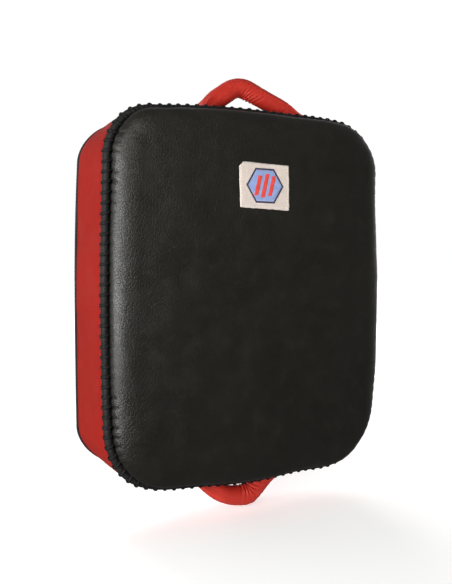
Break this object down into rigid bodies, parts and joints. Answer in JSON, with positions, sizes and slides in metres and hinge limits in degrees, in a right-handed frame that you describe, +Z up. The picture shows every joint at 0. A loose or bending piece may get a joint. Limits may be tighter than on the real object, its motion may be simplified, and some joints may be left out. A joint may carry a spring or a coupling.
{
  "type": "kick shield",
  "caption": "Rectangular padded kick shield with a black domed face, a red side wall, a laced front seam and rolled loop handles on top, bottom and back.",
  "frame": {"origin": "centre of the flat strike face, on its outer surface", "axes": "+Z up along the shield's height, +X to the right as the striker sees the face, +Y from the strike face towards the holder"},
  "size_m": [0.406, 0.1757, 0.5675],
  "materials": {
    "black_leather": "satin",
    "red_leather": "satin",
    "lace": "satin",
    "thread": "matte",
    "filler": "matte",
    "foam": "matte",
    "backing": "matte",
    "label": "satin",
    "label_thread": "matte"
  },
  "bodies": {
    "shield": {"strike_face": "black_leather", "front_welt": "black_leather", "welt_cord": "filler", "front_lacing": "lace", "side_gusset": "red_leather", "back_panel": "black_leather", "back_piping": "black_leather", "strike_foam": "foam", "core_foam": "foam", "back_foam": "foam", "label_patch": "label", "label_stitching": "label_thread", "top_handle_tabs": "red_leather", "top_handle_tab_stitching": "thread", "top_handle_backing": "backing", "bottom_handle_tabs": "red_leather", "bottom_handle_tab_stitching": "thread", "bottom_handle_backing": "backing", "left_handle_tabs": "red_leather", "left_handle_tab_stitching": "thread", "left_handle_backing": "backing", "right_handle_tabs": "red_leather", "right_handle_tab_stitching": "thread", "right_handle_backing": "backing"},
    "top_handle": {"top_handle_cover": "red_leather", "top_handle_core": "foam", "top_handle_seam": "thread"},
    "bottom_handle": {"bottom_handle_cover": "red_leather", "bottom_handle_core": "foam", "bottom_handle_seam": "thread"},
    "left_handle": {"left_handle_cover": "red_leather", "left_handle_core": "foam", "left_handle_seam": "thread"},
    "right_handle": {"right_handle_cover": "red_leather", "right_handle_core": "foam", "right_handle_seam": "thread"}
  },
  "joints": [
    {"name": "top_handle_swing", "type": "hinge", "parent": "shield", "child": "top_handle", "pos_m": [0, 0.062, 0.25095], "axis": [1, 0, 0], "range_deg": [-70, 70]},
    {"name": "bottom_handle_swing", "type": "hinge", "parent": "shield", "child": "bottom_handle", "pos_m": [0, 0.062, -0.25095], "axis": [1, 0, 0], "range_deg": [-70, 70]},
    {"name": "left_handle_swing", "type": "hinge", "parent": "shield", "child": "left_handle", "pos_m": [-0.088, 0.13925, 0], "axis": [0, 0, 1], "range_deg": [-70, 70]},
    {"name": "right_handle_swing", "type": "hinge", "parent": "shield", "child": "right_handle", "pos_m": [0.088, 0.13925, 0], "axis": [0, 0, 1], "range_deg": [-70, 70]}
  ]
}
